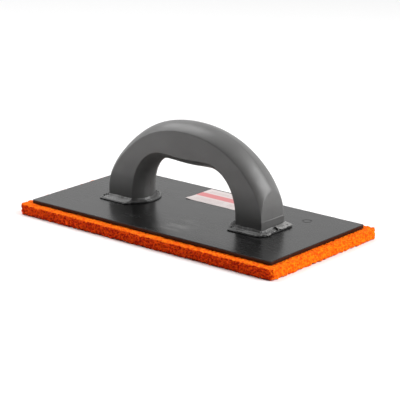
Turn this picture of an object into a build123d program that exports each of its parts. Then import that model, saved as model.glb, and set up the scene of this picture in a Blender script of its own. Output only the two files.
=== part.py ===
"""A foam-faced hand block: a hollow bridge handle welded on a plate that carries a coarse foam pad.

Millimetres. +X runs along the plate, -Y is the user's side and +Z is up. The origin is on the
working face of the pad, under the middle of the pad.
"""

import os
from math import radians, sqrt, tan

from build123d import *

# ---- plate, pad and label ----
plate_length = 270.0
plate_width = 130.0
plate_thickness = 3.5
plate_corner_radius = 1.0
plate_edge_break = 0.3
pad_thickness = 9.5
pad_overhang_x = 6.3  # how far the pad stands out past the plate's ends
pad_overhang_y = 8.1  # and past its long sides
pad_corner_radius = 3.0
adhesive_thickness = 0.2
adhesive_margin = 3.0  # bare strip along the plate's edge
label_length = 65.0
label_width = 37.0
label_thickness = 0.2
label_corner_radius = 1.0
label_edge_gap = 2.6  # from the label's long side to the plate's back edge
mould_mark_diameter = 8.6
mould_mark_line = 0.9
mould_mark_depth = 0.3
mould_mark_inset = (43.0, 24.0)  # from the plate's back right corner to the mark's centre

# ---- handle ----
handle_shift = (-2.7, 2.6)  # where the weld sits, off the plate's centre
handle_height = 80.2  # plate to the highest line of the grip
handle_half_span = 87.0  # middle of the handle to the outer side edge of a leg
handle_width = 31.0
crown_rise = 6.6  # the outside bulges this far beyond its side edges
palm_rise = 7.5  # and the inside this far
opening_half_span = 59.2  # middle of the handle to the side edge of a leg's inside
finger_clearance = 42.5  # plate to the lowest line of the grip
spring_height = 8.6  # the legs are straight up to here
hump_offset = 25.0  # middle of the handle to the highest point of the opening, each way
hump_rise = 0.9  # that point is this much above the middle of the palm swell
edge_round = 1.2  # between the flat sides and the crowns
facet_lean = 1.6  # degrees, inwards, of the flat outer face of a leg
facet_offset = 0.15  # that face lies this far outside the leg's side edges
foot_band_height = 9.6
foot_band_step = 0.8  # the band stands out this far beyond the outer face
wall = 3.0
tongue_thickness = 1.0
tongue_height = 1.4
tongue_clearance = 0.1
rib_thickness = 2.0
rib_places = (-46.0, 0.0, 46.0)
rib_gap = 0.4  # from a rib's edge to the joint plane
buried_share = 0.35  # each crown reaches this share of the web's depth into the web
margin_share = 0.25  # and the web stays this share of its depth back from their side edges

# ---- welds ----
weld_reach = 9.0  # flash past the leg's own outline
weld_end_shares = {"left": (0.4, 1.2), "right": (0.6, 0.85)}  # of the reach, towards -X and +X
weld_shift = 2.0  # both flashes are squeezed out this much further to the user's side
weld_height = 2.1
roll_groove_width = 1.6
roll_groove_depth = 0.7
melt_rim_height = 0.6
melt_rim_margin = 0.7  # past the flash
bead_width = 2.2
bead_height = 2.0

# ---- derived places ----
pad_length = plate_length + 2 * pad_overhang_x
pad_width = plate_width + 2 * pad_overhang_y
plate_bottom = pad_thickness + adhesive_thickness
plate_top = plate_bottom + plate_thickness
half_width = handle_width / 2
arch_rise = handle_height - crown_rise - spring_height
palm_height = finger_clearance + palm_rise
hump_height = palm_height + hump_rise
grip_depth = spring_height + arch_rise - hump_height  # between the two crowns' side edges
leg_depth = handle_half_span - opening_half_span  # and the same across a leg
web_depth = min(grip_depth, leg_depth)
buried_depth = buried_share * web_depth
web_margin = margin_share * web_depth

base = Plane(origin=(handle_shift[0], handle_shift[1], plate_top))
middle = Plane(origin=base.origin, x_dir=(1, 0, 0), z_dir=(0, -1, 0))  # the handle's joint plane
os.makedirs("parts", exist_ok=True)


def arch_line(inset=0.0):
    """Draw the outer side edge of the handle, left foot to right foot, on the middle plane."""
    span = handle_half_span - inset
    Line((-span, 0), (-span, spring_height))
    EllipticalCenterArc((0, spring_height), span, arch_rise - inset, 180, arc_size=-180)
    Line((span, spring_height), (span, 0))


def opening_line(grow=0.0):
    """Draw the side edge of the finger opening, left foot to right foot, on the middle plane."""
    span = opening_half_span + grow
    top = hump_height + grow
    radii = (span - hump_offset, top - spring_height)
    Line((-span, 0), (-span, spring_height))
    EllipticalCenterArc((-hump_offset, spring_height), *radii, 180, arc_size=-90)
    ThreePointArc((-hump_offset, top), (0, palm_height + grow), (hump_offset, top))
    EllipticalCenterArc((hump_offset, spring_height), *radii, 90, arc_size=-90)
    Line((span, spring_height), (span, 0))


def crown(draw_path, rise, inset, side):
    """Return a crown swept along a path. Side 1 bulges outwards and -1 into the opening."""
    half = half_width - inset
    radius = (half_width**2 + rise**2) / (2 * rise)
    edge = rise - radius + sqrt((radius - inset) ** 2 - half**2)
    with BuildPart() as swept:
        with BuildLine(middle) as path:
            draw_path()
        foot = Plane(origin=path.wires()[0] @ 0, x_dir=(0, 1, 0), z_dir=(0, 0, 1))
        with BuildSketch(foot):
            with BuildLine():
                Polyline(
                    (-half, side * edge),
                    (-half, -side * buried_depth),
                    (half, -side * buried_depth),
                    (half, side * edge),
                )
                ThreePointArc(
                    (half, side * edge), (0, side * (rise - inset)), (-half, side * edge)
                )
            outline = make_face()
            if inset <= 0:
                fillet(outline.vertices().sort_by(Axis.X)[::side][:2], edge_round)
        sweep(path=path.wires()[0], transition=Transition.RIGHT)
    return swept.part


def handle_form(inset=0.0):
    """Return the whole handle's form with its skin moved inwards by the inset."""
    crowns = (crown(arch_line, crown_rise, inset, 1), crown(opening_line, palm_rise, inset, -1))
    with BuildPart() as form:
        with BuildSketch(middle):
            with BuildLine() as outer:
                arch_line(web_margin)
                Line(outer.line @ 1, outer.line @ 0)
            make_face()
            with BuildLine() as inner:
                opening_line(web_margin)
                Line(inner.line @ 1, inner.line @ 0)
            make_face(mode=Mode.SUBTRACT)
        extrude(amount=half_width - inset, both=True)
        add(crowns)
        with BuildSketch(middle):
            lean = tan(radians(facet_lean))
            foot = handle_half_span + facet_offset - inset + foot_band_height * lean
            top = foot - handle_height * lean
            Polygon((-foot, 0), (foot, 0), (top, handle_height), (-top, handle_height), align=None)
        extrude(amount=handle_width, both=True, mode=Mode.INTERSECT)
    return form.part


def ring(outline, reach, bottom, height, side):
    """Return a ring standing round a foot's outline and cut off past the foot's two ends."""
    shift = -weld_shift * reach / weld_reach
    grown = Pos(0, shift, bottom) * offset(outline, amount=reach, kind=Kind.ARC)
    left_share, right_share = weld_end_shares[side]
    left = outline.bounding_box().min.X - left_share * reach
    right = outline.bounding_box().max.X + right_share * reach
    with BuildPart() as body:
        extrude(grown, amount=height, dir=(0, 0, 1))
        with BuildSketch(Plane.XY.offset(plate_top + bottom)):
            with Locations(((left + right) / 2, base.origin.Y)):
                Rectangle(right - left, 2 * (handle_width + reach))
        extrude(amount=height, mode=Mode.INTERSECT)
        extrude(Pos(0, 0, bottom) * outline, amount=height, dir=(0, 0, 1), mode=Mode.SUBTRACT)
    return body.part


def band_behind(inset, thickness, depth):
    """Return a band that follows the wall and reaches this far behind the joint plane."""
    outer = section(handle_form(inset), section_by=middle)
    inner = section(handle_form(inset + thickness), section_by=middle)
    with BuildPart() as band:
        extrude(outer, amount=depth, dir=(0, 1, 0))
        extrude(inner, amount=depth, dir=(0, 1, 0), mode=Mode.SUBTRACT)
    return band.part


# ---- plate with its moulded ring mark ----
with BuildPart() as base_plate:
    with BuildSketch(Plane.XY.offset(plate_bottom)):
        RectangleRounded(plate_length, plate_width, plate_corner_radius)
    extrude(amount=plate_thickness)
    chamfer(base_plate.faces().sort_by(Axis.Z)[-1].edges(), plate_edge_break)
    mark_x = plate_length / 2 - mould_mark_inset[0]
    mark_y = plate_width / 2 - mould_mark_inset[1]
    with BuildSketch(Plane.XY.offset(plate_top)):
        with Locations((mark_x, mark_y)):
            Circle(mould_mark_diameter / 2)
            Circle(mould_mark_diameter / 2 - mould_mark_line, mode=Mode.SUBTRACT)
    extrude(amount=-mould_mark_depth, mode=Mode.SUBTRACT)
base_plate.part.label = "base_plate"

# ---- foam pad and the film that glues it on ----
with BuildPart() as sponge_pad:
    with BuildSketch():
        RectangleRounded(pad_length, pad_width, pad_corner_radius)
    extrude(amount=pad_thickness)
sponge_pad.part.label = "sponge_pad"

with BuildPart() as adhesive_film:
    with BuildSketch(Plane.XY.offset(pad_thickness)):
        Rectangle(plate_length - 2 * adhesive_margin, plate_width - 2 * adhesive_margin)
    extrude(amount=adhesive_thickness)
adhesive_film.part.label = "adhesive_film"

# ---- paper label behind the grip ----
with BuildPart() as label:
    with BuildSketch(Plane.XY.offset(plate_top)):
        with Locations((0, plate_width / 2 - label_edge_gap - label_width / 2)):
            RectangleRounded(label_length, label_width, label_corner_radius)
    extrude(amount=label_thickness)
label.part.label = "label"

# ---- handle: a hollow arch in two shells, with foot bands, ribs and a tongue and groove ----
with BuildPart() as outside:
    add(handle_form())
    with BuildSketch(base):
        for side in (-1, 1):
            with Locations((side * (handle_half_span + foot_band_step - wall / 2), 0)):
                RectangleRounded(wall, handle_width, edge_round)
    extrude(amount=foot_band_height)

hollow = handle_form(wall)
with BuildPart() as ribs:
    with BuildSketch(middle):
        for place in rib_places:
            with Locations((place, handle_height / 2)):
                Rectangle(rib_thickness, handle_height)
    extrude(amount=half_width, both=True)
    add(hollow, mode=Mode.INTERSECT)
    with BuildSketch(middle):
        Rectangle(2 * handle_half_span, 2 * handle_height)
    extrude(amount=rib_gap, both=True, mode=Mode.SUBTRACT)

with BuildPart() as skin:
    add(outside.part)
    add(hollow, mode=Mode.SUBTRACT)
    add(ribs.part)

tongue_inset = (wall - tongue_thickness) / 2
groove_inset = tongue_inset - tongue_clearance
groove_width = tongue_thickness + 2 * tongue_clearance
tongue = band_behind(tongue_inset, tongue_thickness, tongue_height)
groove = band_behind(groove_inset, groove_width, tongue_height + tongue_clearance)

with BuildPart() as handle_front_shell:
    add(split(skin.part, bisect_by=middle, keep=Keep.TOP, mode=Mode.PRIVATE))
    add(tongue)
handle_front_shell.part.label = "handle_front_shell"

with BuildPart() as handle_back_shell:
    add(split(skin.part, bisect_by=middle, keep=Keep.BOTTOM, mode=Mode.PRIVATE))
    add(groove, mode=Mode.SUBTRACT)
handle_back_shell.part.label = "handle_back_shell"

# ---- welds: grey flash on a black melted rim outside each foot, and a bead inside it ----
pieces = [base_plate, sponge_pad, adhesive_film, label, handle_front_shell, handle_back_shell]
feet = outside.faces().group_by(Axis.Z)[0].sort_by(Axis.X)
bores = hollow.faces().group_by(Axis.Z)[0].sort_by(Axis.X)
for side, foot, bore in zip(("left", "right"), feet, bores):
    with BuildPart() as melt_rim:
        add(ring(foot, weld_reach + melt_rim_margin, 0, melt_rim_height, side))
    melt_rim.part.label = f"{side}_melt_rim"

    with BuildPart() as weld_flash:
        add(ring(foot, weld_reach, melt_rim_height, weld_height - melt_rim_height, side))
        for reach, mode in (
            ((weld_reach + roll_groove_width) / 2, Mode.SUBTRACT),
            ((weld_reach - roll_groove_width) / 2, Mode.ADD),
        ):
            groove_bottom = weld_height - roll_groove_depth
            add(ring(foot, reach, groove_bottom, roll_groove_depth, side), mode=mode)
    weld_flash.part.label = f"{side}_weld_flash"

    core = offset(bore, amount=-bead_width, kind=Kind.ARC)
    with BuildPart() as inner_bead:
        extrude(bore, amount=bead_height, dir=(0, 0, 1))
        extrude(core, amount=bead_height, dir=(0, 0, 1), mode=Mode.SUBTRACT)
        add(hollow, mode=Mode.INTERSECT)
    inner_bead.part.label = f"{side}_inner_bead"
    pieces += [melt_rim, weld_flash, inner_bead]

for piece in pieces:
    export_step(piece.part, f"parts/{piece.part.label}.step")
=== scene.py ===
"""Shows the foam-faced hand block: handle, welds, plate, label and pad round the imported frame.

Lengths are in metres in the frame's own axes: +X along the block, -Y the user's side, +Z up. Small
sizes are written in millimetres and multiplied by MM.
"""

import logging
import math
from dataclasses import dataclass, field
from enum import Enum

import bpy
import numpy as np
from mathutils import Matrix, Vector, noise


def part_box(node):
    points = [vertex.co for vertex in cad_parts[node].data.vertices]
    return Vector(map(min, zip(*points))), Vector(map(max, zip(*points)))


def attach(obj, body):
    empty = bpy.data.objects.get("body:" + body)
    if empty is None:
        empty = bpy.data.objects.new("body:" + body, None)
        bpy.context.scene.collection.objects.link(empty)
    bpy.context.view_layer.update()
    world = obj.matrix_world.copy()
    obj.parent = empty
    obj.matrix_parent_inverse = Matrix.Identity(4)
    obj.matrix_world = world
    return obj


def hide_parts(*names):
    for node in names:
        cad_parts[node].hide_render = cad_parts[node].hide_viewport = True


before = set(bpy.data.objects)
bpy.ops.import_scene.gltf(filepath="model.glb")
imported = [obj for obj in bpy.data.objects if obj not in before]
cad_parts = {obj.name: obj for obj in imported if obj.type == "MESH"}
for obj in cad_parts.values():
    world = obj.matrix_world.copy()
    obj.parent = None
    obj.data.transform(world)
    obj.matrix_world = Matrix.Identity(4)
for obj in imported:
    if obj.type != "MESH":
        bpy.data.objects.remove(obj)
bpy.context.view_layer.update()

MM = 0.001
BODY = "root"
LOG = logging.getLogger("hand_block")
Pair = tuple[float, float]
Triple = tuple[float, float, float]
Colour = Triple


# ------------------------------------------------------------------------------------------
# Modelling helpers
# ------------------------------------------------------------------------------------------


def deselect_all() -> None:
    """Leave edit mode and deselect every object."""
    if bpy.context.object and bpy.context.object.mode != "OBJECT":
        bpy.ops.object.mode_set(mode="OBJECT")
    bpy.ops.object.select_all(action="DESELECT")


def make_active(piece: bpy.types.Object) -> None:
    """Select one object alone and make it the active one.

    Args:
        piece: the object that the next operators act on.
    """
    deselect_all()
    piece.select_set(True)
    bpy.context.view_layer.objects.active = piece


def in_edit_mode(piece: bpy.types.Object, steps: list[tuple]) -> None:
    """Run mesh operators on the whole of a piece in edit mode.

    Args:
        piece: the mesh object.
        steps: pairs of an operator's name in bpy.ops.mesh and its keyword arguments.
    """
    make_active(piece)
    bpy.ops.object.mode_set(mode="EDIT")
    bpy.ops.mesh.select_all(action="SELECT")
    for name, options in steps:
        getattr(bpy.ops.mesh, name)(**options)
    bpy.ops.object.mode_set(mode="OBJECT")


def apply_modifier(piece: bpy.types.Object, kind: str, **settings: object) -> None:
    """Add a modifier to a piece and apply it.

    Args:
        piece: the mesh object.
        kind: the modifier's type, such as BEVEL.
        settings: the modifier's own settings.
    """
    make_active(piece)
    modifier = piece.modifiers.new(kind.title(), kind)
    for name, value in settings.items():
        setattr(modifier, name, value)
    bpy.ops.object.modifier_apply(modifier=modifier.name)


def points_of(piece: bpy.types.Object) -> np.ndarray:
    """Read where a piece's vertices lie.

    Args:
        piece: the mesh object.

    Returns:
        One row of x, y and z for each vertex.
    """
    points = np.empty(len(piece.data.vertices) * 3, np.float32)
    piece.data.vertices.foreach_get("co", points)
    return points.reshape(-1, 3).astype(float)


def set_points(piece: bpy.types.Object, points: np.ndarray) -> None:
    """Move a piece's vertices to new places.

    Args:
        piece: the mesh object.
        points: one row of x, y and z for each vertex.
    """
    piece.data.vertices.foreach_set("co", np.asarray(points, np.float32).ravel())
    piece.data.update()


def wrapped_grid(name: str, rows: np.ndarray, ring: bool) -> bpy.types.Object:
    """Wrap a grid round sections that follow each other, and close it to a solid.

    Each section is closed on itself. A ring also closes its last section on its first, and any
    other piece gets a face over each end.

    Args:
        name: the new object's name.
        rows: points by section, by place round the section, and by axis.
        ring: whether the sections go all the way round.

    Returns:
        The closed mesh object, with smooth shading up to 40 degrees.
    """
    rows = np.concatenate([rows, rows[:, :1]], axis=1)
    if ring:
        rows = np.concatenate([rows, rows[:1]], axis=0)
    across, along = rows.shape[1], rows.shape[0]
    deselect_all()
    bpy.ops.mesh.primitive_grid_add(x_subdivisions=across - 1, y_subdivisions=along - 1, size=1)
    piece = bpy.context.object
    piece.name = name
    start = points_of(piece).round(6)
    order = np.lexsort((start[:, 0], start[:, 1]))
    placed = np.empty_like(start)
    placed[order] = rows.reshape(-1, 3)
    set_points(piece, placed)
    steps = [("remove_doubles", {"threshold": 0.002 * MM})]
    if not ring:
        steps.append(("fill_holes", {"sides": 0}))
    steps.append(("normals_make_consistent", {"inside": False}))
    in_edit_mode(piece, steps)
    make_active(piece)
    bpy.ops.object.shade_smooth_by_angle(angle=math.radians(40))
    return piece


def clear_selection(piece: bpy.types.Object, kind: str) -> None:
    """Select nothing on a piece, ready for its faces or edges to be picked in code."""
    in_edit_mode(piece, [("select_mode", {"type": kind}), ("select_all", {"action": "DESELECT"})])


def cut_hole(piece: bpy.types.Object, centre: Vector, radius: float) -> None:
    """Delete the faces that lie within a radius of an upright line.

    Args:
        piece: the mesh object.
        centre: a point on the line.
        radius: the hole's radius.
    """
    clear_selection(piece, "FACE")
    for polygon in piece.data.polygons:
        gap = math.hypot(polygon.center.x - centre.x, polygon.center.y - centre.y)
        polygon.select = gap < radius
    bpy.ops.object.mode_set(mode="EDIT")
    bpy.ops.mesh.delete(type="FACE")
    bpy.ops.mesh.select_mode(type="VERT")
    bpy.ops.object.mode_set(mode="OBJECT")


def smooth_step(low: float, high: float, value: np.ndarray) -> np.ndarray:
    """Return 0 up to low, 1 from high, and a smooth rise between them."""
    share = np.clip((np.asarray(value, float) - low) / (high - low), 0, 1)
    return share * share * (3 - 2 * share)


def soft_limit(value: np.ndarray, limit: np.ndarray, softness: float) -> np.ndarray:
    """Return the lesser of two values, with the corner between them rounded off.

    Args:
        value: the value that is held back.
        limit: what it is held back to.
        softness: how far from the corner the rounding starts.
    """
    share = np.clip(0.5 + 0.5 * (limit - value) / softness, 0, 1)
    return limit * (1 - share) + value * share - softness * share * (1 - share)


def wander(place: np.ndarray, period: float, seed: float) -> np.ndarray:
    """Return smooth noise from -1 to 1 at points in space.

    Args:
        place: points, in rows of x, y and z.
        period: the size of one wave.
        seed: an offset that picks another stretch of the noise.
    """
    shift = Vector((seed, 2.7 * seed, -1.3 * seed))
    return np.array([noise.noise(Vector(p) / period + shift) for p in place.reshape(-1, 3)])


def finish_piece(
    piece: bpy.types.Object, slot: str, material: bpy.types.Material, *nodes: str
) -> None:
    """Dress a piece, hide the CAD nodes that it replaces, put it on its body and log its face
    count.

    Args:
        piece: the finished mesh object.
        slot: not used.
        material: the material that covers the piece.
        nodes: the CAD nodes that it replaces.
    """
    piece.data.materials.clear()
    piece.data.materials.append(material)
    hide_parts(*nodes)
    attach(piece, BODY)
    LOG.info("%s: %d faces", piece.name, len(piece.data.polygons))


# ------------------------------------------------------------------------------------------
# Finishes
# ------------------------------------------------------------------------------------------


class Shader:
    """A material under construction: a Principled shader and the nodes that feed it."""

    def __init__(self, name: str) -> None:
        """Start a material.

        Args:
            name: the material's name.
        """
        self.material = bpy.data.materials.new(name)
        self.material.use_nodes = True
        self.tree = self.material.node_tree
        self.surface = self.tree.nodes["Principled BSDF"]
        self.place = self.tree.nodes.new("ShaderNodeTexCoord").outputs["Object"]

    def set(self, **values: object) -> None:
        """Set the shader's own sockets, named with underscores for spaces."""
        for name, value in values.items():
            self.surface.inputs[name.replace("_", " ")].default_value = value

    def feed(self, name: str, output: bpy.types.NodeSocket) -> None:
        """Link an output to one of the shader's sockets."""
        self.tree.links.new(output, self.surface.inputs[name])

    def node(self, kind: str, inputs: dict | None = None, **settings: object) -> bpy.types.Node:
        """Add a node.

        Args:
            kind: the node's type without its ShaderNode prefix.
            inputs: what each input holds: a value, or the output that feeds it.
            settings: the node's own settings.

        Returns:
            The new node.
        """
        made = self.tree.nodes.new("ShaderNode" + kind)
        for name, value in settings.items():
            setattr(made, name, value)
        for name, value in (inputs or {}).items():
            if isinstance(value, bpy.types.NodeSocket):
                self.tree.links.new(value, made.inputs[name])
            else:
                made.inputs[name].default_value = value
        return made

    def stretched(self, turn: float, scale: Triple, at: Triple = (0, 0, 0)) -> bpy.types.NodeSocket:
        """Return object coordinates moved, turned about Z and scaled."""
        inputs = {"Vector": self.place, "Rotation": (0, 0, turn), "Scale": scale, "Location": at}
        return self.node("Mapping", inputs).outputs["Vector"]

    def noise(
        self, size: float, detail: float = 3, rough: float = 0.55, at: object = None
    ) -> bpy.types.NodeSocket:
        """Make a noise from about 0 to 1 whose features are one size across.

        Args:
            size: the size of a feature, in metres.
            detail: octaves of finer noise.
            rough: the share of each octave.
            at: other coordinates than the object's own.

        Returns:
            The output that carries the noise.
        """
        inputs = {"Vector": at or self.place, "Scale": 1 / size, "Detail": detail}
        inputs["Roughness"] = rough
        return self.node("TexNoise", inputs).outputs["Fac"]

    def cells(self, size: float, at: bpy.types.NodeSocket) -> bpy.types.NodeSocket:
        """Return the distance to the nearest middle of cells that are one size across."""
        inputs = {"Vector": at, "Scale": 1 / size}
        return self.node("TexVoronoi", inputs).outputs["Distance"]

    def ramp(
        self, value: bpy.types.NodeSocket, *stops: tuple[float, object]
    ) -> bpy.types.NodeSocket:
        """Make a colour or grey that follows a value through its stops.

        Args:
            value: the output that is followed.
            stops: pairs of a place from 0 to 1 and the colour or grey there.

        Returns:
            The output that carries the colour.
        """
        made = self.node("ValToRGB", {"Fac": value})
        ramp = made.color_ramp
        while len(ramp.elements) < len(stops):
            ramp.elements.new(1)
        for element, (place, colour) in zip(ramp.elements, stops):
            element.position = place
            grey = isinstance(colour, (int, float))
            element.color = (colour, colour, colour, 1) if grey else (*colour, 1)
        return made.outputs["Color"]

    def blend(self, share: object, first: object, second: object, mode: str = "MIX") -> object:
        """Blend two colours by a share.

        Args:
            share: how much of the second colour shows: a number, or the output that feeds it.
            first: the first colour, or its output.
            second: the second colour, or its output.
            mode: the blend type.

        Returns:
            The output that carries the blend.
        """
        made = self.node("Mix", data_type="RGBA", blend_type=mode)
        sockets = [s for s in made.inputs if s.type == "RGBA"]
        for socket, value in zip([made.inputs[0], *sockets], (share, first, second)):
            if isinstance(value, bpy.types.NodeSocket):
                self.tree.links.new(value, socket)
            else:
                socket.default_value = value if isinstance(value, (int, float)) else (*value, 1)
        return next(s for s in made.outputs if s.type == "RGBA")

    def sum(self, *parts: tuple[bpy.types.NodeSocket, float]) -> bpy.types.NodeSocket:
        """Add values up, each times its share.

        Args:
            parts: pairs of an output and its share.

        Returns:
            The output that carries the sum.
        """
        total = None
        for value, share in parts:
            made = self.node("Math", operation="MULTIPLY_ADD")
            self.tree.links.new(value, made.inputs[0])
            made.inputs[1].default_value = share
            if total is None:
                made.inputs[2].default_value = 0
            else:
                self.tree.links.new(total, made.inputs[2])
            total = made.outputs[0]
        return total

    def between(self, value: bpy.types.NodeSocket, low: float, high: float) -> bpy.types.NodeSocket:
        """Make a share that rises smoothly from 0 at low to 1 at high.

        Args:
            value: the output that is followed.
            low: where the share is 0.
            high: where it is 1.

        Returns:
            The output that carries the share.
        """
        made = self.node("MapRange", {"Value": value, "From Min": low, "From Max": high})
        made.interpolation_type = "SMOOTHSTEP"
        return made.outputs["Result"]

    def bump(self, height: bpy.types.NodeSocket, depth: float, strength: float = 1) -> None:
        """Raise the surface by a height from 0 to 1 times a depth."""
        inputs = {"Height": height, "Distance": depth, "Strength": strength}
        self.feed("Normal", self.node("Bump", inputs).outputs["Normal"])


@dataclass(frozen=True)
class MouldedGrey:
    """Satin grey plastic of the handle and of what its welds squeezed out."""

    name: str = "moulded_grey"
    shade: Colour = (0.086, 0.085, 0.0835)
    spread: float = 0.1
    roughness: float = 0.36
    roughness_swing: Pair = (-0.07, 0.09)
    specular: float = 0.62
    cloud_size: float = 26 * MM
    fleck_size: float = 0.9 * MM
    flow_size: float = 9 * MM
    grain_size: float = 0.35 * MM
    wave_size: float = 14 * MM
    bump_depth: float = 0.14 * MM

    def with_painted_shade(self, s: Shader, colour: bpy.types.NodeSocket) -> bpy.types.NodeSocket:
        """Return the base colour, into which a kind of this plastic may paint shade in places."""
        return colour

    def material(self) -> bpy.types.Material:
        """Make the material: faint flow marks, uneven sheen and a fine moulded grain.

        Returns:
            The material.
        """
        s = Shader(self.name)
        dark = tuple(c * (1 - self.spread) for c in self.shade)
        light = tuple(c * (1 + self.spread) for c in self.shade)
        tone = s.ramp(s.noise(self.cloud_size, 4), (0.3, dark), (0.7, light))
        flecks = s.ramp(s.noise(self.fleck_size, 2), (0.7, 0.0), (0.78, 0.5))
        colour = s.blend(flecks, tone, tuple(1.5 * c for c in self.shade))
        s.feed("Base Color", self.with_painted_shade(s, colour))
        flow = s.noise(self.flow_size, 3, at=s.stretched(0.3, (0.25, 1, 1)))
        low, high = (self.roughness + swing for swing in self.roughness_swing)
        s.feed("Roughness", s.ramp(flow, (0.3, low), (0.72, high)))
        s.set(Specular_IOR_Level=self.specular)
        grain, waves = s.noise(self.grain_size, 2), s.noise(self.wave_size, 2)
        s.bump(s.sum((grain, 0.1), (waves, 0.9)), self.bump_depth)
        return s.material


@dataclass(frozen=True)
class HandleGrey(MouldedGrey):
    """The handle's grey, with painted shade on the bands at the foot of its outer faces."""

    middle: float = 0.0
    half_span: float = 87.0 * MM
    band_top: float = 0.0
    painted_band_shade: float = 0.8
    face_edge: Pair = (0.5 * MM, 0.2 * MM)  # the shade comes in this far inside the outer face
    top_edge: Pair = (0.2 * MM, 0.3 * MM)  # and goes from below to above the band's top

    def with_painted_shade(self, s: Shader, colour: bpy.types.NodeSocket) -> bpy.types.NodeSocket:
        """Paint shade into the base colour below the band's top on the outer faces.

        Args:
            s: the material under construction.
            colour: the base colour.

        Returns:
            The base colour with painted shade on the bands.
        """
        split = s.node("SeparateXYZ", {"Vector": s.place}).outputs
        moved = s.node("Math", {0: split["X"], 1: self.middle}, operation="SUBTRACT").outputs[0]
        away = s.node("Math", {0: moved}, operation="ABSOLUTE").outputs[0]
        start, end = (self.half_span - edge for edge in self.face_edge)
        outside = s.between(away, start, end)
        low, high = self.band_top - self.top_edge[0], self.band_top + self.top_edge[1]
        above = s.between(split["Z"], low, high)
        below = s.node("Math", {0: 1.0, 1: above}, operation="SUBTRACT").outputs[0]
        share = s.node("Math", {0: outside, 1: below}, operation="MULTIPLY").outputs[0]
        # painted shade: the colour is multiplied down on the foot bands, where the outer faces fall
        # into shade
        dark = s.blend(1.0, colour, (self.painted_band_shade,) * 3, "MULTIPLY")
        return s.blend(share, colour, dark)


@dataclass(frozen=True)
class MeltedGrey(MouldedGrey):
    """Grey plastic that a weld squeezed out, with painted shade, near black, down in its folds."""

    floor: float = 0.0
    depth: float = 3.0 * MM
    fold_bottom: float = 0.2  # of the depth, up to which the painted fold shade is full
    painted_fold_shade: float = 0.18

    def with_painted_shade(self, s: Shader, colour: bpy.types.NodeSocket) -> bpy.types.NodeSocket:
        """Paint shade into the base colour the nearer a place lies to the plate, so that the folds
        look shaded.

        Args:
            s: the material under construction.
            colour: the base colour.

        Returns:
            The base colour with painted shade in the folds.
        """
        height = s.node("SeparateXYZ", {"Vector": s.place}).outputs["Z"]
        low, high = self.floor + self.fold_bottom * self.depth, self.floor + self.depth
        share = s.between(height, low, high)
        # painted shade: the low folds of the flash are darkened towards black
        dark = s.blend(1.0, colour, (self.painted_fold_shade,) * 3, "MULTIPLY")
        return s.blend(share, dark, colour)


@dataclass(frozen=True)
class PlateBlack:
    """Semi-gloss black sheet plastic, rubbed and lightly scratched."""

    name: str = "plate_black"
    shade: Colour = (0.003, 0.003, 0.0031)
    dust_step: float = 0.006
    smear_shade: Colour = (0.075, 0.074, 0.072)
    scratch_shade: Colour = (0.03, 0.03, 0.031)
    roughness: float = 0.26
    roughness_swing: Pair = (-0.06, 0.15)
    specular: float = 0.36
    smudge_size: float = 34 * MM
    rubbed_size: float = 7 * MM
    scratch_width: float = 0.9 * MM
    scratch_ways: tuple[Pair, ...] = ((0.5, 0.0), (-0.35, 0.07), (1.25, 0.19))  # turn and shift
    patch_size: float = 55 * MM
    smear_centre: Triple = (15 * MM, -38 * MM, 13.2 * MM)
    smear_reach: float = 26 * MM
    streak_size: float = 6 * MM
    ripple_size: float = 40 * MM
    bump_depth: float = 0.1 * MM

    def smear(self, s: Shader) -> bpy.types.NodeSocket:
        """Make the wiped streaks in front of the grip.

        Args:
            s: the material under construction.

        Returns:
            How strongly the streaks show, from 0 to 1.
        """
        inputs = {0: s.place, 1: self.smear_centre}
        away = s.node("VectorMath", inputs, operation="DISTANCE").outputs["Value"]
        fade = {"Value": away, "From Max": self.smear_reach, "To Min": 1, "To Max": 0}
        near = s.node("MapRange", fade, interpolation_type="SMOOTHSTEP").outputs["Result"]
        wiped = s.noise(self.streak_size, 3, at=s.stretched(-0.2, (0.25, 1, 1)))
        streaks = s.ramp(wiped, (0.44, 0.0), (0.62, 1.0))
        return s.blend(1.0, streaks, near, "MULTIPLY")

    def scratches(self, s: Shader) -> bpy.types.NodeSocket:
        """Make thin scratches that run three ways and come in patches.

        Args:
            s: the material under construction.

        Returns:
            How strongly the scratches show.
        """
        marks = None
        for turn, shift in self.scratch_ways:
            at = s.stretched(turn, (0.018, 1, 1), (shift, shift, 0))
            line = s.ramp(s.noise(self.scratch_width, 1, at=at), (0.70, 0.0), (0.74, 1.0))
            marks = line if marks is None else s.blend(1.0, marks, line, "ADD")
        patches = s.ramp(s.noise(self.patch_size, 2), (0.45, 0.0), (0.62, 1.0))
        return s.blend(1.0, marks, patches, "MULTIPLY")

    def material(self) -> bpy.types.Material:
        """Make the material: smudges, rubbed bands, a smear and thin scratches.

        Returns:
            The material.
        """
        s = Shader(self.name)
        smudge = s.noise(self.smudge_size, 5, 0.62)
        rubbed = s.noise(self.rubbed_size, 4, 0.6, at=s.stretched(0.25, (0.22, 1, 1)))
        marks, smear = self.scratches(s), self.smear(s)
        dusty = tuple(c + self.dust_step for c in self.shade)
        dust = s.ramp(smudge, (0.35, self.shade), (0.75, dusty))
        dust = s.blend(smear, dust, self.smear_shade)
        s.feed("Base Color", s.blend(marks, dust, self.scratch_shade))
        base = s.sum((smudge, 0.14), (rubbed, 0.10), (marks, 0.12), (smear, -0.05))
        low, high = (self.roughness + swing for swing in self.roughness_swing)
        s.feed("Roughness", s.ramp(base, (0.05, low), (0.30, high)))
        s.set(Specular_IOR_Level=self.specular)
        ripple = s.noise(self.ripple_size, 2)
        s.bump(s.sum((ripple, 1.0), (marks, -0.03)), self.bump_depth)
        return s.material


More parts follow.
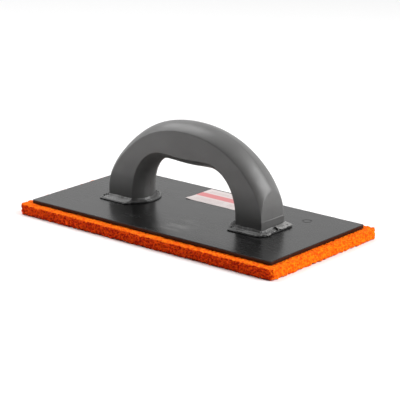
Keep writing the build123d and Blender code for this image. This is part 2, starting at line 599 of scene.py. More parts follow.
@dataclass(frozen=True)
class CoarseFoam:
    """Orange open-celled foam rubber, darker and redder down in its cells."""

    name: str = "coarse_foam"
    deep: Colour = (0.45, 0.009, 0.0008)
    middle: Colour = (1.0, 0.024, 0.001)
    light: Colour = (1.0, 0.085, 0.0015)
    cut: Colour = (1.0, 0.21, 0.002)
    cut_deep: Colour = (0.85, 0.075, 0.001)
    cell: float = 2.3 * MM
    small_cell: float = 0.45  # as a share of a large one
    sway_size: float = 2.2 * MM
    sway: float = 1.3 * MM
    pit_size: float = 1.15 * MM
    fine_size: float = 0.4 * MM
    patch_size: float = 16 * MM
    bump_depth: float = 0.8 * MM
    bump_strength: float = 0.8

    def swayed(self, s: Shader) -> bpy.types.NodeSocket:
        """Push object coordinates about, so that no cell is a neat one.

        Args:
            s: the material under construction.

        Returns:
            The coordinates for the foam's patterns.
        """
        noisy = {"Vector": s.place, "Scale": 1 / self.sway_size, "Detail": 2}
        push = {0: s.node("TexNoise", noisy).outputs["Color"], 1: (0.5, 0.5, 0.5)}
        centred = s.node("VectorMath", push, operation="SUBTRACT").outputs[0]
        scaled = s.node("VectorMath", {0: centred, "Scale": self.sway}, operation="SCALE")
        moved = s.node("VectorMath", {0: s.place, 1: scaled.outputs[0]}, operation="ADD")
        return moved.outputs[0]

    def open_face(self, s: Shader) -> bpy.types.NodeSocket:
        """Tell the cut ends and what looks upwards from the long sides.

        Args:
            s: the material under construction.

        Returns:
            1 on those faces, 0 on the long sides, and a smooth rise between them.
        """
        normal = s.node("NewGeometry").outputs["Normal"]
        split = s.node("SeparateXYZ", {"Vector": normal}).outputs
        end = s.node("Math", {0: split["X"]}, operation="ABSOLUTE").outputs[0]
        inputs = {0: s.between(end, 0.4, 0.85), 1: s.between(split["Z"], 0.45, 0.95)}
        return s.node("Math", inputs, operation="MAXIMUM").outputs[0]

    def material(self) -> bpy.types.Material:
        """Make the material: cells of two sizes, torn webs and a dry matt surface.

        Returns:
            The material.
        """
        s = Shader(self.name)
        at = self.swayed(s)
        large = s.cells(self.cell, at)
        small = s.cells(self.cell * self.small_cell, at)
        height = s.sum((large, 0.75), (small, 0.4), (s.noise(self.fine_size, 3), 0.25))
        hollow = s.sum((s.noise(self.pit_size, 3, at=at), 0.75), (large, 0.3))
        pit = s.ramp(hollow, (0.44, 1.0), (0.6, 0.0))
        open_face = self.open_face(s)
        tone = s.ramp(height, (0.2, self.middle), (0.75, self.light))
        tone = s.blend(open_face, tone, self.cut)
        tone = s.blend(pit, tone, s.blend(open_face, self.deep, self.cut_deep))
        patches = s.ramp(s.noise(self.patch_size, 3), (0.35, 0.88), (0.7, 1.0))
        s.feed("Base Color", s.blend(1.0, tone, patches, "MULTIPLY"))
        s.set(Roughness=0.9, Specular_IOR_Level=0.1)
        s.bump(height, self.bump_depth, self.bump_strength)
        return s.material


@dataclass(frozen=True)
class PrintedLabel:
    """A paper label with a plain red band and grey rules, and no lettering.

    The marks are placed by shares of the label's length and width.
    """

    low: Vector
    high: Vector
    name: str = "printed_label"
    paper: Colour = (0.57, 0.5, 0.49)
    worn: float = 0.9
    band: Colour = (0.52, 0.15, 0.155)
    rule: Colour = (0.42, 0.33, 0.325)
    band_across: Pair = (0.40, 0.66)
    margin: float = 0.08
    low_rules: Triple = (0.16, 0.22, 0.28)
    low_rule_end: float = 0.56
    high_rules: tuple[Pair, ...] = ((0.75, 0.5), (0.82, 0.4))  # each rule's place and its end
    bars: int = 9

    def inside(self, s: Shader, axis: str, low: float, high: float) -> bpy.types.NodeSocket:
        """Tell whether a place lies between two shares of the label's length or width.

        Args:
            s: the material under construction.
            axis: X or Y.
            low: the share at which the stretch starts.
            high: the share at which it ends.

        Returns:
            1 inside the stretch and 0 outside it.
        """
        index = "XY".index(axis)
        size = self.high[index] - self.low[index]
        centre = self.low[index] + size * (low + high) / 2
        part = s.node("SeparateXYZ", {"Vector": s.place}).outputs[axis]
        inputs = {0: part, 1: centre, 2: size * (high - low) / 2}
        return s.node("Math", inputs, operation="COMPARE").outputs[0]

    def patch(self, s: Shader, along: Pair, across: Pair) -> bpy.types.NodeSocket:
        """Return 1 inside a rectangle given by two stretches."""
        x, y = self.inside(s, "X", *along), self.inside(s, "Y", *across)
        return s.node("Math", {0: x, 1: y}, operation="MULTIPLY").outputs[0]

    def marks(self) -> list[tuple[Pair, Pair]]:
        """List the rules and bars.

        Returns:
            Pairs of shares, along the label and across it.
        """
        low = [((self.margin, self.low_rule_end), (up, up + 0.02)) for up in self.low_rules]
        high = [((self.margin, end), (up, up + 0.03)) for up, end in self.high_rules]
        starts = [0.66 + 0.028 * index for index in range(self.bars)]
        return low + high + [((start, start + 0.012), (0.13, 0.31)) for start in starts]

    def material(self) -> bpy.types.Material:
        """Make the material: a band, thin rules and a block of bars on faintly worn paper.

        Returns:
            The material.
        """
        s = Shader(self.name)
        dull = tuple(self.worn * c for c in self.paper)
        paper = s.ramp(s.noise(6 * MM, 4), (0.3, dull), (0.7, self.paper))
        colour = s.blend(self.patch(s, (0, 1), self.band_across), paper, self.band)
        for along, across in self.marks():
            colour = s.blend(self.patch(s, along, across), colour, self.rule)
        s.feed("Base Color", colour)
        s.set(Roughness=0.42, Specular_IOR_Level=0.45)
        s.bump(s.noise(3 * MM, 3), 0.03 * MM)
        return s.material


@dataclass(frozen=True)
class DriedGlue:
    """Brown contact adhesive, uneven in colour."""

    name: str = "dried_glue"
    dark: Colour = (0.2, 0.1, 0.03)
    light: Colour = (0.3, 0.16, 0.06)

    def material(self) -> bpy.types.Material:
        """Make the material: soft patches of two browns.

        Returns:
            The material.
        """
        s = Shader(self.name)
        s.feed("Base Color", s.ramp(s.noise(8 * MM), (0.3, self.dark), (0.7, self.light)))
        s.set(Roughness=0.5)
        return s.material


# ------------------------------------------------------------------------------------------
# Handle
# ------------------------------------------------------------------------------------------


class Half(Enum):
    """The two shells of the handle, by the side of the joint plane that they lie on."""

    FRONT = -1
    BACK = 1


@dataclass
class BridgeHandle:
    """The arched handle: flat sides, a crowned outside, a crowned palm side and flat outer faces.

    Heights are above the plate, and lengths along X are from the middle of the handle.
    """

    half_span: float = 87.0 * MM
    crown_rise: float = 6.6 * MM
    palm_rise: float = 7.5 * MM
    opening_half_span: float = 59.2 * MM
    spring_height: float = 8.6 * MM
    hump_offset: float = 25.0 * MM
    hump_height: float = 50.9 * MM
    palm_height: float = 50.0 * MM
    edge_round: float = 1.2 * MM
    face_lean: float = math.radians(1.6)
    face_edge_round: float = 0.6 * MM
    band_height: float = 9.6 * MM
    band_step: float = 0.8 * MM
    band_flare: float = 0.5 * MM
    shoulder_slim: Pair = (0.03, 0.08)  # right and left of the top
    seam_gap: float = 0.02 * MM
    seam_round: float = 0.11 * MM
    seam_ridge: float = 0.04 * MM
    front_ridge_share: float = 0.4
    step_blur: float = 0.45 * MM
    flare_blur: float = 0.3 * MM
    flare_in_front: float = 0.2  # of the flare at the back
    arc_points: int = 26
    bend_points: int = 7
    lip_points: int = 5
    middle: Vector = field(init=False)
    half_width: float = field(init=False)
    height: float = field(init=False)

    def __post_init__(self) -> None:
        """Take the handle's place and outer size from the frame."""
        front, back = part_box("handle_front_shell"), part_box("handle_back_shell")
        plate_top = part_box("base_plate")[1].z
        across = (front[0].x + front[1].x) / 2
        self.middle = Vector((across, (front[0].y + back[1].y) / 2, plate_top))
        self.half_width = (back[1].y - front[0].y) / 2
        self.height = front[1].z - plate_top

    def outer_path(self, angle: np.ndarray, leg: np.ndarray) -> tuple[np.ndarray, np.ndarray]:
        """Lay out the outer side edge of the arch and its legs.

        Args:
            angle: degrees round the arch, 180 at the left spring line and 0 at the right.
            leg: how far each station lies below the spring line.

        Returns:
            The points and the normals, in rows of x and z.
        """
        rise = self.height - self.crown_rise - self.spring_height
        turn = np.radians(angle)
        slim = np.where(np.cos(turn) > 0, *self.shoulder_slim)
        share = 1 - slim * np.sin(2 * turn) ** 2
        bend = -2 * slim * np.sin(4 * turn)
        x = self.half_span * share * np.cos(turn)
        z = self.spring_height + rise * np.sin(turn) - leg
        up = self.half_span * (share * np.sin(turn) - bend * np.cos(turn))
        normal = np.stack([rise * np.cos(turn), up], -1)
        blur = self.step_blur
        step = self.band_step * (1 - smooth_step(-blur, blur, z - self.band_height))
        x = x + (x > 0) * step
        return np.stack([x, z], -1), normal / np.linalg.norm(normal, axis=-1, keepdims=True)

    def opening_path(self, share: np.ndarray, leg: np.ndarray) -> tuple[np.ndarray, np.ndarray]:
        """Lay out the side edge of the opening.

        Args:
            share: how far each station is along the opening, from 0 to 1 between spring lines.
            leg: how far it lies below them.

        Returns:
            The points, and the normals that point into the opening, in rows of x and z.
        """
        across = self.opening_half_span - self.hump_offset
        up = self.hump_height - self.spring_height
        turn = np.radians(np.linspace(180, 90, 200))
        left = np.stack([across * np.cos(turn) - self.hump_offset, up * np.sin(turn)], -1)
        flat = np.linspace(-1, 1, 121)[1:-1]
        dip = (self.hump_height - self.palm_height) * (1 + np.cos(np.pi * flat)) / 2
        belly = np.stack([flat * self.hump_offset, up - dip], -1)
        right = left[::-1] * (-1, 1)
        line = np.concatenate([left, belly, right])
        length = np.concatenate([[0], np.cumsum(np.linalg.norm(np.diff(line, axis=0), axis=1))])
        place = share * length[-1]
        at = np.stack([np.interp(place, length, line[:, k]) for k in (0, 1)], -1)
        slope = np.gradient(line, length, axis=0)
        along = np.stack([np.interp(place, length, slope[:, k]) for k in (0, 1)], -1)
        along /= np.linalg.norm(along, axis=-1, keepdims=True)
        at[:, 1] += self.spring_height - leg
        return at, np.stack([along[:, 1], -along[:, 0]], -1)

    def stations(self) -> tuple[np.ndarray, np.ndarray, np.ndarray]:
        """Place the handle's sections, close together where the arch meets its legs.

        Returns:
            Each section's angle round the arch, its share of the opening and its drop.
        """
        rise = self.height - self.crown_rise - self.spring_height
        fine, coarse = np.arange(0, 3, 0.15), np.arange(3, 40, 0.9)
        near = np.concatenate([fine, coarse]) * MM
        foot = 180 - np.degrees(np.arcsin(near / rise))
        top = np.linspace(foot[-1], 90, 62)[1:-1]
        half = np.concatenate([foot, top])
        angle = np.concatenate([half, [90], 180 - half[::-1]])
        leg = np.linspace(self.spring_height, 0, 13)[:-1]
        turn = np.radians(180 - angle)
        step = np.hypot(np.diff(self.half_span * np.cos(turn)), np.diff(rise * np.sin(turn)))
        share = np.concatenate([[0], np.cumsum(step)])
        share /= share[-1]
        no_drop = np.zeros_like(angle)
        angles = np.concatenate([np.full(len(leg), 180.0), angle, np.zeros(len(leg))])
        shares = np.concatenate([np.zeros(len(leg)), share, np.ones(len(leg))])
        return angles, shares, np.concatenate([leg, no_drop, leg[::-1]])

    def crown(self, rise: float, half: Half) -> np.ndarray:
        """Draw one crown's profile from the seam to the flat side.

        Args:
            rise: how far the crown stands out at the middle.
            half: the shell whose profile it is.

        Returns:
            Rows of the distance across the handle and the rise.
        """
        radius = (self.half_width**2 + rise**2) / (2 * rise)
        fillet = self.edge_round
        centre_y = self.half_width - fillet
        centre_n = rise - radius + math.sqrt((radius - fillet) ** 2 - centre_y**2)
        meet = math.atan2(centre_y, centre_n - rise + radius)
        turn = np.linspace(0, meet, self.arc_points)
        arc = np.stack([radius * np.sin(turn), rise - radius + radius * np.cos(turn)], -1)
        turn = np.linspace(meet, np.pi / 2, self.bend_points)[1:]
        bend = np.stack([centre_y + fillet * np.sin(turn), centre_n + fillet * np.cos(turn)], -1)
        turn = np.linspace(-np.pi / 2, 0, self.lip_points)
        lip_y = self.seam_gap + self.seam_round * (1 + np.sin(turn))
        lip_n = rise - self.seam_round * (1 - np.cos(turn))
        share = 1 if half is Half.BACK else self.front_ridge_share
        ridge = share * self.seam_ridge
        lip_n = lip_n + ridge * np.cos(turn)
        lip = np.stack([lip_y, lip_n], -1)
        arc = arc[arc[:, 0] > lip_y[-1] + 0.5 * self.seam_round]
        return np.concatenate([lip, arc, bend])

    def shell(self, half: Half) -> bpy.types.Object:
        """Build one shell of the handle.

        Args:
            half: which shell.

        Returns:
            The closed mesh object.
        """
        angle, share, leg = self.stations()
        sides = (
            (*self.outer_path(angle, leg), self.crown_rise),
            (*self.opening_path(share, leg), self.palm_rise),
        )
        sections = []
        for edge, normal, rise in sides:
            profile = self.crown(rise, half)
            flat = edge[:, None, :] + normal[:, None, :] * profile[None, :, 1:]
            across = np.broadcast_to(profile[None, :, 0], flat.shape[:2])
            sections.append(np.stack([flat[..., 0], half.value * across, flat[..., 1]], -1))
        rows = np.concatenate([sections[0], sections[1][:, ::-1]], axis=1)
        x, z = rows[..., 0], rows[..., 2]
        above = np.clip(z - self.band_height, 0, None)
        blur = self.flare_blur
        below = 1 - smooth_step(-blur, blur, z - self.band_height)
        flare = np.clip(z / self.band_height, 0, 1)
        backwards = smooth_step(-self.half_width, self.half_width, rows[..., 1])
        swing = self.flare_in_front + (1 - self.flare_in_front) * backwards
        step = self.band_flare * below * flare * swing
        limit = self.half_span + step - above * math.tan(self.face_lean)
        rows[..., 0] = np.sign(x) * soft_limit(np.abs(x), limit, self.face_edge_round)
        rows[..., 2] = np.clip(z, 0, None)
        rows += np.array(self.middle)
        return wrapped_grid(f"handle_{half.name.lower()}_skin", rows, ring=False)

    def build(self, finish: MouldedGrey) -> None:
        """Build and dress both shells.

        Args:
            finish: the shells' finish.
        """
        material = finish.material()
        for half in Half:
            node = f"handle_{half.name.lower()}_shell"
            finish_piece(self.shell(half), "handle_plastic", material, node)


# ------------------------------------------------------------------------------------------
# Welds
# ------------------------------------------------------------------------------------------


class Side(Enum):
    """The two feet of the handle, by the direction that their outer face looks."""

    LEFT = -1
    RIGHT = 1


@dataclass(frozen=True)
class TornScrap:
    """A torn scrap of flash: its place from the foot's outer face, and its size and shape."""

    name: str
    place: Triple
    half_across: float
    half_along: float
    bow: float
    tilt: float = 0.0
    hook: float = 0.0
    hole: float = 0.0
    turn: float = 0.0
    seed: float = 4.0
    ragged: float = 0.4
    narrowing: float = 0.3
    thickness: float = 0.5 * MM
    hole_place: Triple = (0.4 * MM, 4.6 * MM, 0.0)


TORN_SCRAPS = (
    TornScrap(
        name="right_torn_flap",
        place=(3.9 * MM, 9.0 * MM, 2.75 * MM),
        half_across=3.5 * MM,
        half_along=8.8 * MM,
        bow=0.8 * MM,
        tilt=0.45,
        hook=0.3,
        hole=0.75 * MM,
    ),
    TornScrap(
        name="right_torn_curl",
        place=(7.6 * MM, -16.6 * MM, 1.9 * MM),
        half_across=1.3 * MM,
        half_along=3.6 * MM,
        bow=1.4 * MM,
        turn=-0.25,
        seed=9.0,
    ),
)


@dataclass
class FootWeld:
    """The flash rolled up round one foot, and the black rim of melted plate under it.

    Each roll has its height in millimetres, and its place and width as shares of the reach. The
    lip is in millimetres too. The gap is the right foot's broken stretch, a little in front of the
    middle.
    """

    side: Side
    handle: BridgeHandle
    reach: float = 8.6 * MM
    shift: float = 1.7 * MM
    spacing: float = 0.45 * MM
    rim_reach: float = 9.3 * MM
    rim_thickness: float = 0.5 * MM
    inner_end: Pair = (0.32, 0.5)  # of the reach, on the left foot's inner side and the right's
    outer_end: Pair = (0.7, 0.8)  # and on their outer sides
    rolls: tuple[Triple, ...] = ((2.3, 0.06, 0.1), (1.0, 0.38, 0.09), (1.2, 0.74, 0.13))
    lip: float = 0.75
    section_points: int = 30
    gap_place: float = 0.5 * MM
    gap_width: float = 1.3 * MM
    gap_depth: float = 1.3 * MM

    def outline(self) -> tuple[np.ndarray, np.ndarray]:
        """Walk round the foot, with a fan of directions at each corner.

        Returns:
            The points and their normals, in rows of x and y from the handle's middle.
        """
        h = self.handle
        outer = h.half_span + h.band_step
        width = h.half_width
        radius = (width**2 + h.palm_rise**2) / (2 * h.palm_rise)
        centre = h.opening_half_span - h.palm_rise + radius
        swing = math.asin(width / radius)
        count = [int(length / self.spacing) for length in (outer - h.opening_half_span, 2 * width)]
        fan = int(self.reach * np.pi / 2 / self.spacing)
        points, normals = [], []

        def run(start: Pair, end: Pair, normal: Pair, steps: int) -> None:
            """Add a straight run of points with one normal.

            Args:
                start: the first point.
                end: the point that the run stops short of.
                normal: the outward normal.
                steps: how many points.
            """
            share = np.linspace(0, 1, steps, endpoint=False)[:, None]
            points.extend(np.array(start) * (1 - share) + np.array(end) * share)
            normals.extend([normal] * steps)

        def turn(at: Pair, start: float, end: float, steps: int) -> None:
            """Add a corner: one point whose normal turns.

            Args:
                at: the corner.
                start: the first normal's angle, in radians.
                end: the angle that the turn stops short of.
                steps: how many normals.
            """
            for angle in np.linspace(start, end, steps, endpoint=False):
                points.append(np.array(at))
                normals.append((math.cos(angle), math.sin(angle)))

        right = np.pi / 2
        run((h.opening_half_span, -width), (outer, -width), (0, -1), count[0])
        turn((outer, -width), -right, 0, fan)
        run((outer, -width), (outer, width), (1, 0), count[1])
        turn((outer, width), 0, right, fan)
        run((outer, width), (h.opening_half_span, width), (0, 1), count[0])
        turn((h.opening_half_span, width), right, np.pi - swing, fan // 2)
        for angle in np.linspace(np.pi - swing, np.pi + swing, count[1], endpoint=False):
            points.append(np.array((centre + radius * math.cos(angle), radius * math.sin(angle))))
            normals.append((math.cos(angle), math.sin(angle)))
        turn((h.opening_half_span, -width), np.pi + swing, 3 * right, fan // 2)
        flip = np.array([self.side.value, 1])
        return np.array(points) * flip, np.array(normals) * flip

    def end_share(self, normal: np.ndarray) -> np.ndarray:
        """Shorten the flash on the sides where it is narrow.

        Args:
            normal: outward normals, in rows of x and y.

        Returns:
            One share for each normal.
        """
        foot = 0 if self.side is Side.LEFT else 1
        lower, upper = self.inner_end[foot], self.outer_end[foot]
        across = normal[:, 0]
        share = 1 - (1 - lower) * smooth_step(0.0, 0.5, -across)
        return share - (1 - upper) * smooth_step(0.1, 0.8, across)

    def sweep(self, name: str, across: np.ndarray, height: np.ndarray) -> bpy.types.Object:
        """Sweep a section round the foot.

        Args:
            name: the new object's name.
            across: distance from the foot, by station and place round the section.
            height: height above the plate, likewise.

        Returns:
            The closed mesh object.
        """
        point, normal = self.outline()
        across = across * self.end_share(normal)[:, None]
        flat = point[:, None, :] + normal[:, None, :] * across[..., None]
        flat[..., 1] -= self.shift * across / self.reach
        rows = np.concatenate([flat, height[..., None]], -1) + np.array(self.handle.middle)
        if self.side is Side.LEFT:
            rows = rows[::-1]
        return wrapped_grid(name, rows, ring=True)

    def flash(self) -> bpy.types.Object:
        """Build the grey flash: three rolls side by side with folds between them.

        Returns:
            The closed mesh object.
        """
        point, normal = self.outline()
        place = np.concatenate([point + normal * self.reach, np.zeros((len(point), 1))], -1)
        seed = 3.0 + self.side.value
        lump = wander(place, 6 * MM, seed)[:, None]
        fine = wander(place, 1.6 * MM, seed + 5)[:, None]
        fold = wander(place, 9 * MM, seed + 9)[:, None]
        top = np.linspace(0, 1, self.section_points)
        rolls = sum(
            high * np.exp(-(((top - place) / width) ** 2)) for high, place, width in self.rolls
        )
        edge = smooth_step(1.02, 0.86, top)
        height = (rolls * edge + self.lip) * MM
        reach = self.reach * (1 + 0.05 * lump + 0.03 * fine)
        across = top[None, :] * reach
        raised = height[None, :] * (1 + 0.16 * fold + 0.1 * fine) + 0.2 * MM * lump
        wobble = 0.35 * MM * fold * np.sin(np.pi * top)[None, :]
        across = across + wobble
        under = np.linspace(0.97, 0, 8)
        low_across = under[None, :] * reach
        low_height = np.broadcast_to(0.55 * MM, low_across.shape)
        tear = self.torn(point, normal, across, raised)
        return self.sweep(
            f"{self.side.name.lower()}_flash",
            np.concatenate([across, low_across], 1),
            np.concatenate([tear, low_height], 1),
        )

    def torn(
        self, point: np.ndarray, normal: np.ndarray, across: np.ndarray, height: np.ndarray
    ) -> np.ndarray:
        """Press in the right foot's broken stretch of flash.

        Args:
            point: points round the foot.
            normal: their outward normals.
            across: distance from the foot, by station and place round the section.
            height: height above the plate, likewise.

        Returns:
            The heights, changed on the right foot only.
        """
        if self.side is Side.LEFT:
            return height
        outwards = smooth_step(0.9, 1.0, normal[:, 0])[:, None]
        gap = np.exp(-(((point[:, 1] + self.gap_place) / self.gap_width) ** 2))[:, None]
        rim = smooth_step(0.35, 0.6, across / self.reach)
        return height - outwards * gap * rim * self.gap_depth

    def rim(self) -> bpy.types.Object:
        """Build the black rim of melted plate that shows under the flash.

        Returns:
            The closed mesh object.
        """
        point, normal = self.outline()
        place = np.concatenate([point + normal * self.reach, np.zeros((len(point), 1))], -1)
        lump = wander(place, 5 * MM, 11.0 + self.side.value)[:, None]
        turn = np.linspace(np.pi / 2, -np.pi / 2, 9)
        reach = self.rim_reach * (1 + 0.035 * lump)
        thick = self.rim_thickness * (1 + 0.2 * lump)
        across = reach + thick * (np.cos(turn)[None, :] - 1)
        height = thick * (1 + np.sin(turn)[None, :])
        inner = np.zeros((len(point), 1))
        return self.sweep(
            f"{self.side.name.lower()}_rim",
            np.concatenate([inner, across, inner], 1),
            np.concatenate([2 * thick, height, inner], 1),
        )

    def scrap(self, torn: TornScrap) -> bpy.types.Object:
        """Build a torn scrap of flash that lies over the right foot's broken rim.

        Args:
            torn: the scrap's place and size.

        Returns:
            The closed mesh object.
        """
        deselect_all()
        bpy.ops.mesh.primitive_grid_add(x_subdivisions=26, y_subdivisions=40, size=1)
        piece = bpy.context.object
        piece.name = torn.name
        points = points_of(piece)
        across, along = points[:, 0] * 2, points[:, 1] * 2
        ragged = wander(points, 0.16, torn.seed)
        half_across = torn.half_across * (1 + torn.ragged * ragged)
        half_along = torn.half_along * (1 + 0.1 * wander(points, 0.3, torn.seed + 3))
        narrow = 1 - torn.narrowing * smooth_step(0.3, 1.0, -along)
        h = self.handle
        centre = h.middle + Vector((h.half_span + h.band_step, 0, 0)) + Vector(torn.place)
        lift = 0.25 * wander(points, 0.22, torn.seed - 2)
        lift = lift + 0.45 * across**2 * smooth_step(-0.2, 0.6, along)
        lift += torn.hook * smooth_step(0.55, 1.0, -along) * (0.4 + 0.6 * (across + 1) / 2)
        droop = 0.35 * np.abs(across) ** 3 + 0.15 * (across > 0.6)
        x = across * half_across * narrow - torn.bow * along**2
        y = along * half_along
        z = centre.z + (lift - droop - torn.tilt * across) * 1.4 * MM
        turn = torn.turn
        flat_x = centre.x + x * math.cos(turn) - y * math.sin(turn)
        flat_y = centre.y + x * math.sin(turn) + y * math.cos(turn)
        set_points(piece, np.stack([flat_x, flat_y, z], -1))
        if torn.hole:
            cut_hole(piece, centre + Vector(torn.hole_place), torn.hole)
        apply_modifier(piece, "SOLIDIFY", thickness=torn.thickness, offset=-1)
        apply_modifier(piece, "SUBSURF", levels=1, render_levels=1)
        make_active(piece)
        bpy.ops.object.shade_smooth_by_angle(angle=math.radians(60))
        return piece

    def build(
        self, grey: bpy.types.Material, black: bpy.types.Material, pale: bpy.types.Material
    ) -> None:
        """Build and dress the weld's pieces.

        Args:
            grey: the flash's material.
            black: the melted rim's material.
            pale: the torn flap's material.
        """
        name = self.side.name.lower()
        finish_piece(self.flash(), "handle_plastic", grey, f"{name}_weld_flash")
        finish_piece(self.rim(), "plate_plastic", black, f"{name}_melt_rim")
        if self.side is Side.RIGHT:
            for torn in TORN_SCRAPS:
                finish_piece(self.scrap(torn), "handle_plastic", pale)


# ------------------------------------------------------------------------------------------
# Plate, label and pad
# ------------------------------------------------------------------------------------------


@dataclass
class FoamPad:
    """The coarse foam pad with its open cells and frayed edge.

    Each bump pattern has its kind, the size of its features and how far it moves the surface.
    """

    grain: float = 0.75 * MM
    corner: float = 5.0 * MM
    swell: Triple = (3.3 * MM, 0.6 * MM, 0.9 * MM)
    sole_rise: float = 0.7 * MM
    edge_rise: float = 0.25 * MM  # the foam stands up this far where the plate doesn't press it
    film_gap: float = 0.05 * MM
    plate_margin: float = 2 * MM
    bumps: tuple[tuple[str, float, float], ...] = (
        ("CLOUDS", 14 * MM, 0.9 * MM),
        ("VORONOI", 2.2 * MM, 2.2 * MM),
        ("CLOUDS", 0.9 * MM, 1.5 * MM),
    )

    def block(self) -> bpy.types.Object:
        """Build the pad's plain block, swollen a little past its space, with rounded corners.

        Returns:
            The block, ready to be remeshed.
        """
        low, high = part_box("sponge_pad")
        deselect_all()
        bpy.ops.mesh.primitive_cube_add(size=1)
        piece = bpy.context.object
        piece.name = "foam_pad"
        size, centre = high - low, (high + low) / 2
        points = points_of(piece) * (np.array(size) + np.array(self.swell))
        points[:, 2] = np.where(points[:, 2] > 0, size.z / 2, -size.z / 2 + self.sole_rise)
        set_points(piece, points + np.array(centre))
        clear_selection(piece, "EDGE")
        for edge in piece.data.edges:
            first, second = (piece.data.vertices[i].co for i in edge.vertices)
            edge.select = abs(first.z - second.z) > size.z / 2
        bpy.ops.object.mode_set(mode="EDIT")
        bpy.ops.mesh.bevel(offset=self.corner, segments=6)
        bpy.ops.mesh.select_mode(type="VERT")
        bpy.ops.object.mode_set(mode="OBJECT")
        return piece

    def displaced(self, piece: bpy.types.Object, kind: str, size: float, depth: float) -> None:
        """Push the surface in and out by one procedural pattern.

        Args:
            piece: the pad.
            kind: the pattern, CLOUDS or VORONOI.
            size: the size of its features.
            depth: how far it moves the surface from its lowest to its highest.
        """
        texture = bpy.data.textures.new(f"foam_{kind.lower()}_{size / MM:.1f}", kind)
        texture.noise_scale = size
        if kind == "CLOUDS":
            texture.noise_depth = 2
        settings = {"texture_coords": "LOCAL", "strength": depth, "mid_level": 0.5}
        apply_modifier(piece, "DISPLACE", texture=texture, **settings)

    def build(self, finish: CoarseFoam) -> None:
        """Build and dress the pad.

        Args:
            finish: the foam's finish.
        """
        piece = self.block()
        apply_modifier(piece, "REMESH", mode="VOXEL", voxel_size=self.grain)
        for kind, size, depth in self.bumps:
            self.displaced(piece, kind, size, depth)
        low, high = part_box("sponge_pad")
        points = points_of(piece)
        film_low, film_high = (np.array(corner)[:2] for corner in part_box("adhesive_film"))
        above = points[:, :2] > film_low - self.plate_margin
        below = points[:, :2] < film_high + self.plate_margin
        under = np.all(above & below, axis=1)
        ceiling = np.where(under, high.z - self.film_gap, high.z + self.edge_rise)
        points[:, 2] = np.clip(points[:, 2], low.z, ceiling)
        set_points(piece, points)
        make_active(piece)
        bpy.ops.object.shade_smooth()
        finish_piece(piece, "foam_rubber", finish.material(), "sponge_pad")


@dataclass
class PaperLabel:
    """The label behind the grip, with one corner lifting a little."""

    thickness: float = 0.14 * MM
    lift: float = 0.5 * MM
    lift_reach: float = 9 * MM
    wave_size: float = 7 * MM
    wave_height: float = 0.02 * MM
    corner_round: float = 1.0 * MM

    def build(self) -> None:
        """Build and dress the label."""
        low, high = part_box("label")
        deselect_all()
        bpy.ops.mesh.primitive_plane_add(size=1)
        piece = bpy.context.object
        piece.name = "paper_label"
        size = high - low
        centre = (high + low) / 2
        points = points_of(piece) * np.array((size.x, size.y, 0)) + np.array(centre)
        points[:, 2] = low.z + self.thickness
        set_points(piece, points)
        rounding = {"affect": "VERTICES", "offset": self.corner_round, "segments": 4}
        in_edit_mode(piece, [("bevel", rounding)])
        in_edit_mode(piece, [("quads_convert_to_tris", {}), ("subdivide", {"number_cuts": 30})])
        points = points_of(piece)
        corner = np.hypot(points[:, 0] - low.x, points[:, 1] - low.y)
        points[:, 2] += self.lift * (1 - smooth_step(0, self.lift_reach, corner))
        points[:, 2] += self.wave_height * wander(points, self.wave_size, 1.0)
        set_points(piece, points)
        apply_modifier(piece, "SOLIDIFY", thickness=0.9 * self.thickness, offset=-1)
        make_active(piece)
        bpy.ops.object.shade_smooth_by_angle(angle=math.radians(30))
        finish_piece(piece, "label_paper", PrintedLabel(low, high).material(), "label")


def dress_kept_nodes(black: bpy.types.Material, grey: bpy.types.Material) -> None:
    """Give the CAD nodes that stay in view or inside their materials.

    Args:
        black: the plate's material.
        grey: the handle's material, for the beads inside the feet.
    """
    dressed = {
        "base_plate": black,
        "adhesive_film": DriedGlue().material(),
        "left_inner_bead": grey,
        "right_inner_bead": grey,
    }
    for node, material in dressed.items():
        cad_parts[node].data.materials.clear()
        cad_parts[node].data.materials.append(material)
        LOG.info("%s keeps its shape", node)


# ------------------------------------------------------------------------------------------
# Studio
# ------------------------------------------------------------------------------------------


@dataclass(frozen=True)
class Softbox:
    """A square softbox that faces the block.

    Its azimuth is in degrees round the block, as the camera's, its elevation in degrees above
    the floor, its distance and its side in metres, and its power in watts.
    """

    name: str
    azimuth: float
    elevation: float
    away: float
    side: float
    power: float


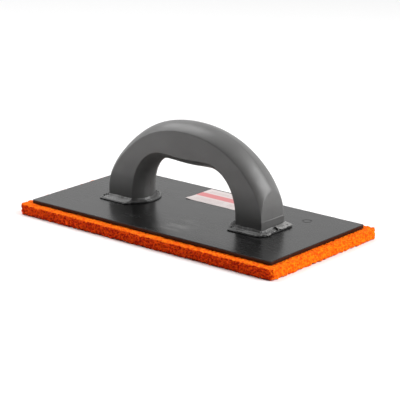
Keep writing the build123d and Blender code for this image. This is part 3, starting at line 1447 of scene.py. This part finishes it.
@dataclass
class Studio:
    """The camera, the pale floor and the soft light."""

    azimuth: float = math.radians(39.99)
    elevation: float = math.radians(16.87)
    distance: float = 1.6925
    lens: float = 170.53
    aim: Vector = field(default_factory=lambda: Vector((-18.88 * MM, 29.67 * MM, 13.2 * MM)))
    floor_size: float = 12.0
    floor_shade: Colour = (0.85, 0.85, 0.85)
    sky_way: Triple = (-0.25, 0.75, 0.6)
    sky_black: float = 0.1
    sky_white: float = 0.55
    softboxes: tuple[Softbox, ...] = (
        Softbox("key", 108, 34, 1.6, 1.4, 32),
        Softbox("top", 262, 52, 1.6, 1.0, 9),
        Softbox("fill", -66, 24, 0.5, 0.25, 0.7),
    )

    def back(self, azimuth: float, elevation: float) -> Vector:
        """Return the direction from the block to a point at an azimuth and elevation."""
        flat = math.cos(elevation)
        return Vector((math.sin(azimuth) * flat, -math.cos(azimuth) * flat, math.sin(elevation)))

    def camera(self) -> None:
        """Add the camera."""
        data = bpy.data.cameras.new("camera")
        data.lens = self.lens
        data.clip_start, data.clip_end = 0.05, 20
        camera = bpy.data.objects.new("camera", data)
        bpy.context.scene.collection.objects.link(camera)
        back = self.back(self.azimuth, self.elevation)
        camera.location = self.aim + back * self.distance
        camera.rotation_euler = (-back).to_track_quat("-Z", "Y").to_euler()
        bpy.context.scene.camera = camera

    def floor(self) -> None:
        """Add the pale floor."""
        deselect_all()
        bpy.ops.mesh.primitive_plane_add(size=self.floor_size)
        floor = bpy.context.object
        floor.name = "floor"
        paint = Shader("floor_paint")
        paint.set(Base_Color=(*self.floor_shade, 1), Roughness=0.9, Specular_IOR_Level=0.1)
        floor.data.materials.append(paint.material)

    def softbox(self, box: Softbox) -> None:
        """Add a softbox that faces the block.

        Args:
            box: the softbox.
        """
        data = bpy.data.lights.new(box.name, "AREA")
        data.shape, data.size, data.energy = "SQUARE", box.side, box.power
        light = bpy.data.objects.new(box.name, data)
        bpy.context.scene.collection.objects.link(light)
        back = self.back(math.radians(box.azimuth), math.radians(box.elevation))
        light.location = back * box.away
        light.rotation_euler = (-back).to_track_quat("-Z", "Y").to_euler()

    def world(self) -> None:
        """Add a white surround that is dimmer on the user's side."""
        world = bpy.data.worlds.new("studio")
        bpy.context.scene.world = world
        world.use_nodes = True
        nodes, links = world.node_tree.nodes, world.node_tree.links
        way = nodes.new("ShaderNodeTexCoord").outputs["Generated"]
        dot = nodes.new("ShaderNodeVectorMath")
        dot.operation = "DOT_PRODUCT"
        dot.inputs[1].default_value = self.sky_way
        links.new(way, dot.inputs[0])
        ramp = nodes.new("ShaderNodeValToRGB")
        links.new(dot.outputs["Value"], ramp.inputs["Fac"])
        ramp.color_ramp.elements[0].position = self.sky_black
        ramp.color_ramp.elements[0].color = (0, 0, 0, 1)
        ramp.color_ramp.elements[1].position = self.sky_white
        ramp.color_ramp.elements[1].color = (1, 1, 1, 1)
        plain = nodes.new("ShaderNodeMix")
        plain.data_type = "RGBA"
        links.new(nodes.new("ShaderNodeLightPath").outputs["Is Camera Ray"], plain.inputs["Factor"])
        links.new(ramp.outputs["Color"], plain.inputs[6])
        plain.inputs[7].default_value = (1, 1, 1, 1)
        links.new(plain.outputs[2], nodes["Background"].inputs["Color"])

    def build(self) -> None:
        """Set up the camera, floor and lights."""
        self.camera()
        self.floor()
        self.world()
        for box in self.softboxes:
            self.softbox(box)
        bpy.context.scene.view_settings.view_transform = "Standard"


def main() -> None:
    """Build the block, piece by piece, and the studio round it."""
    logging.basicConfig(level=logging.INFO, format="%(name)s: %(message)s")
    Studio().build()
    handle = BridgeHandle()
    plate_top = handle.middle.z
    grey = HandleGrey(middle=handle.middle.x, band_top=plate_top + handle.band_height)
    handle.build(grey)
    flash = MeltedGrey(
        name="flash_grey",
        shade=(0.068, 0.067, 0.066),
        spread=0.35,
        roughness=0.3,
        floor=plate_top,
    )
    black = PlateBlack().material()
    flash_material = flash.material()
    torn = MouldedGrey(name="torn_grey", shade=(0.15, 0.148, 0.145), spread=0.5, roughness=0.28)
    pale = torn.material()
    for side in Side:
        FootWeld(side, handle).build(flash_material, black, pale)
    FoamPad().build(CoarseFoam())
    PaperLabel().build()
    dress_kept_nodes(black, flash_material)


if __name__ == "__main__":
    main()
